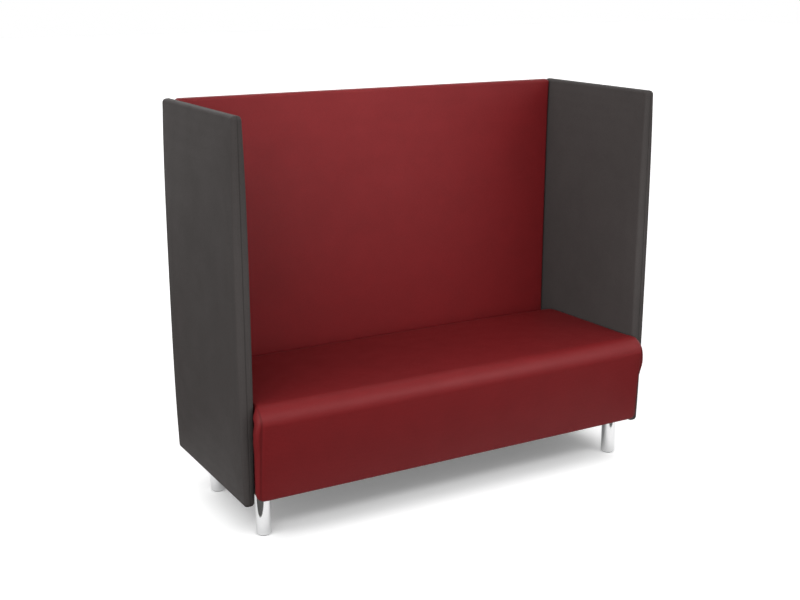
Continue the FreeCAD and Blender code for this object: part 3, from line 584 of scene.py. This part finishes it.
# %% [markdown]
# The seat is one long cushion. Seen from its end it is a leaning front, a wide roll over the front edge, a top that
# falls slightly to the back, and an upright rear. The cover is turned under the frame in front and behind. That
# outline is swept from end to end, a little fuller in the middle. The roll has to touch both the leaning front and the
# top, so the lean is found by a few steps of iteration.

# %% Seat outline
SEAT_TOP, SEAT_BASE, FRAME_BASE = 0.463, 0.150, 0.1545
SEAT_FOOT_Y, SEAT_FRONT_Y, SEAT_REAR_Y = -0.296, -0.337, 0.2815
FRONT_CROWN, TOP_CROWN, REAR_FALL = 0.015, 0.006, 0.010
FRONT_ROLL, REAR_ROLL, FOOT_ROLL = 0.055, 0.085, 0.004
TOP_RUN, TURNED_UNDER, HEM_STEP, BEND_STEP = 0.47, 0.022, 0.004, 0.004


def arc(centre, radius, start, end, count):
    """Points on a circle between two angles in degrees, both ends included."""
    return [
        (centre[0] + radius * math.cos(math.radians(a)), centre[1] + radius * math.sin(math.radians(a)))
        for a in np.linspace(start, end, count)
    ]


def run_between(start, end, count):
    """Points between two places, without either of them."""
    return [tuple(np.array(start) + (np.array(end) - np.array(start)) * k / (count + 1)) for k in range(1, count + 1)]


def seat_outline(full):
    """The seat's section as (y, z) points, clockwise from the foot of the front, for a fullness of 0 to 1."""
    front, top = SEAT_FRONT_Y + FRONT_CROWN * (1 - full), SEAT_TOP + TOP_CROWN * full
    lean = 0.15
    for _ in range(30):
        lean = math.atan((SEAT_FOOT_Y - front) / (top - FRONT_ROLL * (1 + math.sin(lean)) - SEAT_BASE))
    slope = math.atan(REAR_FALL / TOP_RUN)
    brow_centre = (front + FRONT_ROLL * math.cos(lean), top - FRONT_ROLL)
    brow = arc(brow_centre, FRONT_ROLL, 180 + math.degrees(lean), 90 - math.degrees(slope), 21)
    nape_centre = (SEAT_REAR_Y - REAR_ROLL, top - REAR_FALL - REAR_ROLL)
    nape = arc(nape_centre, REAR_ROLL, 90 - math.degrees(slope), 0, 9)
    foot_centre = (
        SEAT_FOOT_Y + FOOT_ROLL / math.cos(lean) - FOOT_ROLL * math.tan(lean), SEAT_BASE + FOOT_ROLL)
    foot = arc(foot_centre, FOOT_ROLL, 270, 180 + math.degrees(lean), 5)
    after_roll = [brow[-1]]
    after_roll += [
        (brow[-1][0] + BEND_STEP * k, brow[-1][1] - BEND_STEP * k * math.tan(slope)) for k in range(1, 6)]
    heel, heel_edge = (SEAT_REAR_Y, SEAT_BASE), (SEAT_REAR_Y - TURNED_UNDER, SEAT_BASE)
    toe_edge = (foot[0][0] + TURNED_UNDER, SEAT_BASE)
    bottom = [(heel_edge[0] - HEM_STEP, FRAME_BASE), (toe_edge[0] + HEM_STEP, FRAME_BASE)]
    outline = foot + run_between(foot[-1], brow[0], 22) + brow[:-1] + after_roll
    outline += run_between(after_roll[-1], nape[0], 32) + nape + run_between(nape[-1], heel, 12) + [heel]
    outline += run_between(heel, heel_edge, 2) + [heel_edge, bottom[0]] + run_between(*bottom, 26) + [bottom[1]]
    return outline + [toe_edge] + run_between(toe_edge, foot[0], 5)


middle_outline = seat_outline(1.0)
print("seat outline", len(middle_outline), "points, front", round(min(y for y, _ in middle_outline), 4))

# %% [markdown]
# At each end a flat piece is sewn to the long one. Ahead of the side panels it bulges outwards, so that the seat's nose
# wraps round the panels' front edges, most of all just below the roll. Behind that, it is hidden between panel and
# frame. The end is made of rings too: each ring moves in from the seam towards a line inside the seat, and outwards
# along a quarter ellipse.

# %% Helpers: how the seat's end swells
NOSE_BACK, NOSE_SOFT = -0.2705, 0.008
SEAM_NOSE, SEAM_BAY = 0.748, 0.7440
NOSE_BULGE, NOSE_EXTRA, EXTRA_Z, EXTRA_SPREAD = 0.0135, 0.0045, 0.367, 0.038
END_DROP, CREST_DROP, END_ROLL_WIDTH, STITCH_DEPTH = 0.0045, 0.0010, 0.025, 0.0014
CORE_FRONT, CORE_REAR, CORE_Z = -0.235, 0.19, 0.300
CREST_Z, CREST_Y, BROW_Z = (0.395, 0.435), (-0.235, -0.258), (0.420, 0.465)  # where each effect sets in, and is full
TURN_WIDE, TURN_LESS = 0.033, 0.021


def eased(place, low, high):
    """A smooth step from 0 at low to 1 at high; low may be the larger one."""
    share = min(1.0, max(0.0, (place - low) / (high - low)))
    return share * share * (3 - 2 * share)


def nose_share(y):
    """1 ahead of the side panels, 0 between them."""
    return eased(y, NOSE_BACK, NOSE_BACK - NOSE_SOFT)


def end_drop(y, z):
    """How far the cover falls towards the end seam: least over the roll, where it is stretched round the panel."""
    stretched = eased(z, *CREST_Z) * eased(y, *CREST_Y)
    return END_DROP + (CREST_DROP - END_DROP) * stretched


def nose_bulge(z, depth):
    """How far the end stands out at a depth in from its seam."""
    extra = math.exp(-((z - EXTRA_Z) / EXTRA_SPREAD) ** 2)
    most = (NOSE_BULGE + NOSE_EXTRA * extra) * (1 - 0.5 * eased(z, *BROW_Z))
    turn = TURN_WIDE - TURN_LESS * extra
    return most * math.sqrt(1 - (1 - min(1.0, depth / turn)) ** 2)


def inward(y, z):
    """Unit step and distance from a point of the outline to the line inside the seat."""
    core = np.array((min(CORE_REAR, max(CORE_FRONT, y)), CORE_Z))
    step = core - np.array((y, z))
    length = float(np.hypot(*step))
    return step / length, length


# %% [markdown]
# With the outline and the swelling in hand, the cushion is laced together. Its loops run from one end to the other,
# closer together near the ends, and each sinks a little towards the end seam. The rings of both ends follow.

# %% Seat cushion
# The second number is how far from the end seams the painted shade of the seam's groove reaches.
STATION_STEPS, SHADED_WIDTH = (0.0035, 0.023, 0.12), 0.008
RING_DEPTHS = (0.002, 0.0045, 0.008, 0.012, 0.017, 0.022, 0.028, 0.034)
RING_SHARES = (0.45, 0.62, 0.8)
cushion = Patchwork()
lengths = [math.dist(here, after) for here, after in zip(middle_outline, middle_outline[1:])]
outline_runs = np.concatenate([[0.0], np.cumsum(lengths)])
loops = []
for station in spaced(1.0, *STATION_STEPS):
    outline = seat_outline(fullness(station))
    loop = []
    for (y, z), run in zip(outline, outline_runs):
        reach = SEAM_BAY + (SEAM_NOSE - SEAM_BAY) * nose_share(y)
        from_seam = (1 - abs(station)) * reach
        step, _ = inward(y, z)
        near = max(0.0, 1 - from_seam / END_ROLL_WIDTH)
        sink = end_drop(y, z) * (1 - math.sqrt(max(0.0, 1 - near * near)))
        sink += STITCH_DEPTH * (abs(station) == 1)
        nearness = max(0.0, 1 - from_seam / SHADED_WIDTH)
        loop.append(cushion.point((station * reach, y + step[0] * sink, z + step[1] * sink), nearness, float(run)))
    loops.append(loop)
for near, far in zip(loops, loops[1:]):
    cushion.lace(near, far)

end_outline = seat_outline(0.0)
for side, loop in ((-1, loops[0]), (1, loops[-1])):
    for k in range(len(RING_DEPTHS) + len(RING_SHARES)):
        ring = []
        for (y, z), run in zip(end_outline, outline_runs):
            step, length = inward(y, z)
            depth = RING_DEPTHS[min(k, len(RING_DEPTHS) - 1)]
            if k >= len(RING_DEPTHS):
                depth = max(depth, length * RING_SHARES[k - len(RING_DEPTHS)])
            ring_y, ring_z = y + step[0] * (depth + end_drop(y, z)), z + step[1] * (depth + end_drop(y, z))
            reach = SEAM_BAY + (SEAM_NOSE - SEAM_BAY + nose_bulge(ring_z, depth)) * nose_share(ring_y)
            nearness = max(0.0, 1 - depth / SHADED_WIDTH)
            ring.append(cushion.point((side * reach, ring_y, ring_z), nearness, float(run)))
        cushion.lace(loop, ring)
        loop = ring
    cushion.faces.append(tuple(loop))
seat = cushion.sew("seat_upholstery", red_cover)
print(seat.name, len(seat.data.vertices), "points")

# %% [markdown]
# A thin black cloth is stapled under the frame to keep dust out. It is one stretched sheet: its front and rear hems lie
# under the turned edge of the cover, and between the legs it hangs a hair lower than at the frame.

# %% Dust cloth
CLOTH_X, CLOTH_FRONT, CLOTH_REAR = 0.742, -0.284, 0.276
CLOTH_LEVEL, HEM_LEVEL, CLOTH_SAG, CLOTH_THICKNESS = 0.1523, 0.1494, 0.0016, 0.0004
FRONT_HEM, REAR_HEM = (-0.264, -0.276), (0.254, 0.266)
SPAN_X, SPAN_FRONT, SPAN_REAR = (0.62, 0.40), (-0.25, -0.12), (0.24, 0.11)
cloth = Patchwork()
cloth_lines = []
for x in np.linspace(-CLOTH_X, CLOTH_X, 75):
    line = []
    for y in np.linspace(CLOTH_FRONT, CLOTH_REAR, 41):
        hem = max(eased(y, *FRONT_HEM), eased(y, *REAR_HEM))
        open_span = eased(abs(x), *SPAN_X) * eased(y, *SPAN_FRONT) * eased(y, *SPAN_REAR)
        sag = CLOTH_SAG * open_span * (1 + 0.25 * math.sin(9 * x) * math.cos(11 * y))
        line.append(cloth.point((x, y, CLOTH_LEVEL + (HEM_LEVEL - CLOTH_LEVEL) * hem - sag)))
    cloth_lines.append(line)
for near, far in zip(cloth_lines, cloth_lines[1:]):
    cloth.lace(near, far, closed=False)
dust_cloth = cloth.sew("dust_cloth", base_cloth)
thickness = dust_cloth.modifiers.new("thickness", "SOLIDIFY")
thickness.thickness = CLOTH_THICKNESS
print(dust_cloth.name, len(dust_cloth.data.vertices), "points")

# %% [markdown]
# A padded cover is a bag that its filling pushes out, and Blender's cloth can do just that. Each cover is held at its
# seams and where it is fixed to the frame, and a pressure inside blows it up for ten frames, without gravity. That
# moves the cover much further than foam would, but it spreads the right way: fullest in the middle, pulled in along
# the rolls and with small puckers near the seams. So the whole movement is scaled down to a few millimetres and
# written to the mesh, and no cloth is left on the piece.


# %% Plump the covers
PLUMP_FRAMES, PLUMP_PRESSURE = 10, 4
PANEL_PLUMP, SEAT_PLUMP = 0.0026, 0.0030
HELD_BELOW_Z, HELD_BEHIND_Y, HELD_BEYOND_X, HELD_BAY_Y = 0.157, 0.26, 0.739, -0.262


def plump(piece, most, is_held):
    """Blow a cover up, and keep so much of the movement that the point that moved furthest moves by most."""
    mesh = piece.data
    start, end = np.empty((2, len(mesh.vertices), 3))
    mesh.vertices.foreach_get("co", start.ravel())
    nearness = np.empty(len(mesh.vertices))
    mesh.attributes["seam"].data.foreach_get("value", nearness)
    held = piece.vertex_groups.new(name="held")
    held.add([k for k, place in enumerate(start) if nearness[k] > 0.99 or is_held(*place)], 1.0, "REPLACE")
    bag = piece.modifiers.new("cloth", "CLOTH")
    bag.settings.quality = 4
    bag.settings.tension_stiffness = bag.settings.compression_stiffness = 20
    bag.settings.shear_stiffness = 8
    bag.settings.bending_stiffness = 2
    bag.settings.vertex_group_mass = held.name
    bag.settings.use_pressure = True
    bag.settings.uniform_pressure_force = PLUMP_PRESSURE
    bag.settings.effector_weights.gravity = 0
    bag.collision_settings.use_collision = False
    bag.point_cache.frame_start, bag.point_cache.frame_end = 1, PLUMP_FRAMES
    for moment in range(1, PLUMP_FRAMES + 1):
        scene.frame_set(moment)
    blown = piece.evaluated_get(bpy.context.evaluated_depsgraph_get()).data
    blown.vertices.foreach_get("co", end.ravel())
    piece.modifiers.remove(bag)
    piece.vertex_groups.remove(held)
    scene.frame_set(1)
    moved = end - start
    largest = np.linalg.norm(moved, axis=1).max()
    mesh.vertices.foreach_set("co", (start + moved * most / largest).ravel())
    mesh.update()
    print(piece.name, "blown up", round(largest, 4), "kept", most)


def on_frame(x, y, z):
    """Whether the seat's cover is fixed at a place: under and behind the frame, and between it and the panels."""
    return z < HELD_BELOW_Z or y > HELD_BEHIND_Y or (abs(x) > HELD_BEYOND_X and y > HELD_BAY_Y)


for panel in (*panels.values(), back):
    plump(panel, PANEL_PLUMP, lambda x, y, z: False)
plump(seat, SEAT_PLUMP, on_frame)

# %% [markdown]
# The grids above have points every few millimetres at the edges and every two centimetres in the middle. One level of
# subdivision makes the rolls smooth. Each piece then rides on the body of the sofa, and the CAD solids that it stands
# for are hidden.


# %% Hand the soft pieces to the frame
def layers_of(panel, *faces):
    """The names of a panel's covers and foams."""
    return [f"{panel}_{face}_{layer}" for layer in ("cover", "foam") for face in faces]


for piece, slot, fill, stands_for in (
    (panels["left"], "charcoal_cover", 0.9, layers_of("left_panel", "outer", "inner")),
    (panels["right"], "charcoal_cover", 0.9, layers_of("right_panel", "outer", "inner")),
    (back, "red_cover", 0.9, layers_of("back", "front", "rear")),
    (seat, "red_cover", 0.85, [
        "seat_cover", "seat_left_end_cover", "seat_right_end_cover", "seat_rear_cover", "seat_foam",
        "seat_front_foam"]),
):
    rounder = piece.modifiers.new("rounder", "SUBSURF")
    rounder.levels = 1
    rounder.render_levels = 1
    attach(piece, "sofa")
    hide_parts(*stands_for)
    print(piece.name, "stands for", len(stands_for), "solids")
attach(dust_cloth, "sofa")
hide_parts("dust_cover")

# %% [markdown]
# The room is a white floor under a white sky. The sofa stands on a sheet of paper, and the studio floor round it is
# grey, which shows only in what the legs and the covers reflect. The camera is shown the whole floor in white, so that
# it meets the sky without a line and still takes the sofa's shadow. A painted glow in the floor keeps it white where
# the lamps no longer reach, and is painted light on the sofa's shadow too: it is faint under the sofa, and grows over a
# hand's width round a rectangle there, which keeps the shadow tight under the sofa.


# %% Floor
SHADE_HALF, SHADE_FADE = (0.65, 0.20, 0.0), 0.20
GLOW_UNDER, GLOW_ROUND = 0.14, 0.60
PICTURE_RAYS = ("Is Camera Ray", "Is Glossy Ray", "Is Transmission Ray")
PAPER = [(-0.77, -0.50), (1.05, -0.50), (1.05, 0.62), (-1.20, 0.62)]
SQUARE, FLOOR_HALVES = ((-1, -1), (1, -1), (1, 1), (-1, 1)), (5, 30)


def any_ray(tree, kinds):
    """1 for rays of any of these kinds, and 0 for the others."""
    rays = shade(tree, "ShaderNodeLightPath").outputs
    seen = rays[kinds[0]]
    for kind in kinds[1:]:
        seen = number(tree, "MAXIMUM", seen, rays[kind])
    return seen


def floor_finish(name, colour, white_rays):
    """A matt paint that is white for some kinds of ray, and has its own colour for the others."""
    material, tree, skin = new_finish(name)
    tree.nodes.remove(skin)
    seen = any_ray(tree, white_rays)
    paint = shade(tree, "ShaderNodeBsdfDiffuse")
    tree.links.new(blend_colours(tree, seen, colour, (1.0, 1.0, 1.0, 1)), paint.inputs["Color"])
    outside = shade(tree, "ShaderNodeNewGeometry").outputs["Position"]
    for operation, second in (("ABSOLUTE", None), ("SUBTRACT", SHADE_HALF), ("MAXIMUM", (0, 0, 0))):
        step = shade(tree, "ShaderNodeVectorMath", {"operation": operation})
        tree.links.new(outside, step.inputs[0])
        if second:
            step.inputs[1].default_value = second
        outside = step.outputs[0]
    far = shade(tree, "ShaderNodeVectorMath", {"operation": "LENGTH"})
    tree.links.new(outside, far.inputs[0])
    # The glow is painted light: faint under the sofa and strong round it, so it lightens the edge of the sofa's shadow.
    glow = remap(tree, far.outputs["Value"], 0.0, SHADE_FADE, GLOW_UNDER, GLOW_ROUND, smooth=True)
    shine = shade(tree, "ShaderNodeEmission", Strength=number(tree, "MULTIPLY", glow, seen))
    both = shade(tree, "ShaderNodeAddShader")
    tree.links.new(paint.outputs[0], both.inputs[0])
    tree.links.new(shine.outputs[0], both.inputs[1])
    tree.links.new(both.outputs[0], tree.nodes["Material Output"].inputs["Surface"])
    return material


floor_corners = PAPER + [(x * half, y * half) for half in FLOOR_HALVES for x, y in SQUARE]
floor_faces = [(0, 1, 2, 3)]
for inner in (0, 4):
    outer = inner + 4
    floor_faces += [(k + inner, k + outer, (k + 1) % 4 + outer, (k + 1) % 4 + inner) for k in range(4)]
floor_mesh = bpy.data.meshes.new("floor")
floor_mesh.from_pydata([(x, y, 0) for x, y in floor_corners], [], floor_faces)
floor_mesh.materials.append(floor_finish("white_paper", (0.10, 0.099, 0.098, 1), PICTURE_RAYS))
floor_mesh.materials.append(floor_finish(
    "studio_floor", (0.19, 0.187, 0.182, 1), ("Is Camera Ray", "Is Transmission Ray")))
for face in floor_mesh.polygons:
    face.material_index = 1 if 1 <= face.index <= 4 else 0
floor = bpy.data.objects.new("floor", floor_mesh)
scene.collection.objects.link(floor)
print(floor.name, len(floor_faces), "faces")

# %% [markdown]
# The light is soft and plain. The sky lights the sofa at a fifth of the white that the camera sees. Three broad suns
# stand for bright walls: a strong one on the left, a little in front, a weak one in front on the right, and one behind
# that lights the rear. A softbox with a narrow spread lights the top of the back more than its foot, as in the
# photograph. Another fills in from the right, and a low strip in front of the seat lights the front of the cushion and
# the edges of the panels.

# %% Sky and lamps
SKY_LEVEL, WALL_ANGLE = 0.2, math.radians(70)
sky = bpy.data.worlds.new("sky")
sky.use_nodes = True
scene.world = sky
tree = sky.node_tree
backdrop = tree.nodes["Background"]
backdrop.inputs["Color"].default_value = (1, 1, 1, 1)
tree.links.new(remap(tree, any_ray(tree, PICTURE_RAYS), 0.0, 1.0, SKY_LEVEL, 1.0), backdrop.inputs["Strength"])


def hang(data, place, aim):
    """Put a lamp at a place and turn it to a point."""
    lamp = bpy.data.objects.new(data.name, data)
    lamp.location = place
    lamp.rotation_euler = (Vector(aim) - Vector(place)).to_track_quat("-Z", "Y").to_euler()
    lamp.visible_camera = False
    scene.collection.objects.link(lamp)


WALLS = {  # place, strength
    "left_wall": ((-3.4, -1.6, 1.4), 2.25),
    "right_wall": ((3.0, -3.0, 2.5), 0.40),
    "rear_wall": ((1.6, 3.0, 1.3), 1.10),
}
for label, (place, strength) in WALLS.items():
    wall = bpy.data.lights.new(label, "SUN")
    wall.energy = strength
    wall.angle = WALL_ANGLE
    hang(wall, place, (0, 0, 0))
SOFTBOXES = {  # place, aim, width, height, watts, spread in degrees
    "front_softbox": ((-0.2, -1.15, 2.15), (-0.1, 0.28, 1.34), 1.2, 0.5, 1.9, 55),
    "right_softbox": ((1.6, -1.8, 1.8), (0.0, 0.0, 0.9), 1.0, 1.0, 7.5, 180),
    "low_softbox": ((-0.15, -0.95, 0.85), (-0.15, -0.3, 0.6), 2.4, 0.2, 5.2, 180),
}
for label, (place, aim, width, height, watts, spread) in SOFTBOXES.items():
    softbox = bpy.data.lights.new(label, "AREA")
    softbox.shape = "RECTANGLE"
    softbox.size, softbox.size_y = width, height
    softbox.energy = watts
    softbox.spread = math.radians(spread)
    hang(softbox, place, aim)
print("lamps", list(WALLS) + list(SOFTBOXES))
